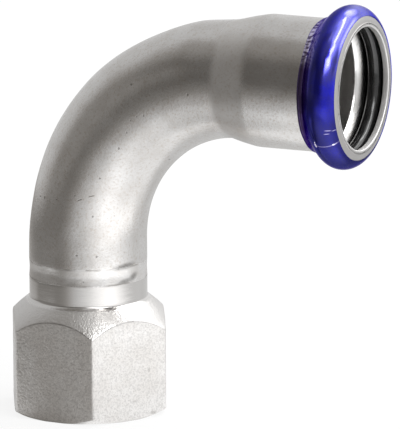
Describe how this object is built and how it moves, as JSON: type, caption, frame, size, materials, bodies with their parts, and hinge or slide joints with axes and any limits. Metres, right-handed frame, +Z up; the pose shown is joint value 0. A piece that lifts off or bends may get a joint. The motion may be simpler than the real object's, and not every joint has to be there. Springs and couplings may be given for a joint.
{
  "type": "press fit fitting",
  "caption": "Right-angle stainless pipe bend with a rubber-sealed press socket under a coloured film at one end and a hexagonal female threaded end at the other.",
  "frame": {"origin": "middle of the threaded end's flat face, which the fitting stands on", "axes": "+Z runs up the threaded leg away from the thread's mouth, and +X runs out of the press socket, so the bend lies in the XZ plane"},
  "size_m": [0.072, 0.0302, 0.0802],
  "materials": {
    "cast_steel": "satin, lightly grained",
    "weld_metal": "ground and pickled",
    "tube_steel": "satin, pickled",
    "seal_rubber": "smooth, greased",
    "indicator_film": "glossy shrunk film"
  },
  "bodies": {
    "root": {"threaded_end": "cast_steel", "weld_seam": "weld_metal", "elbow_tube": "tube_steel", "seal_ring": "seal_rubber", "press_indicator": "indicator_film"}
  },
  "joints": []
}
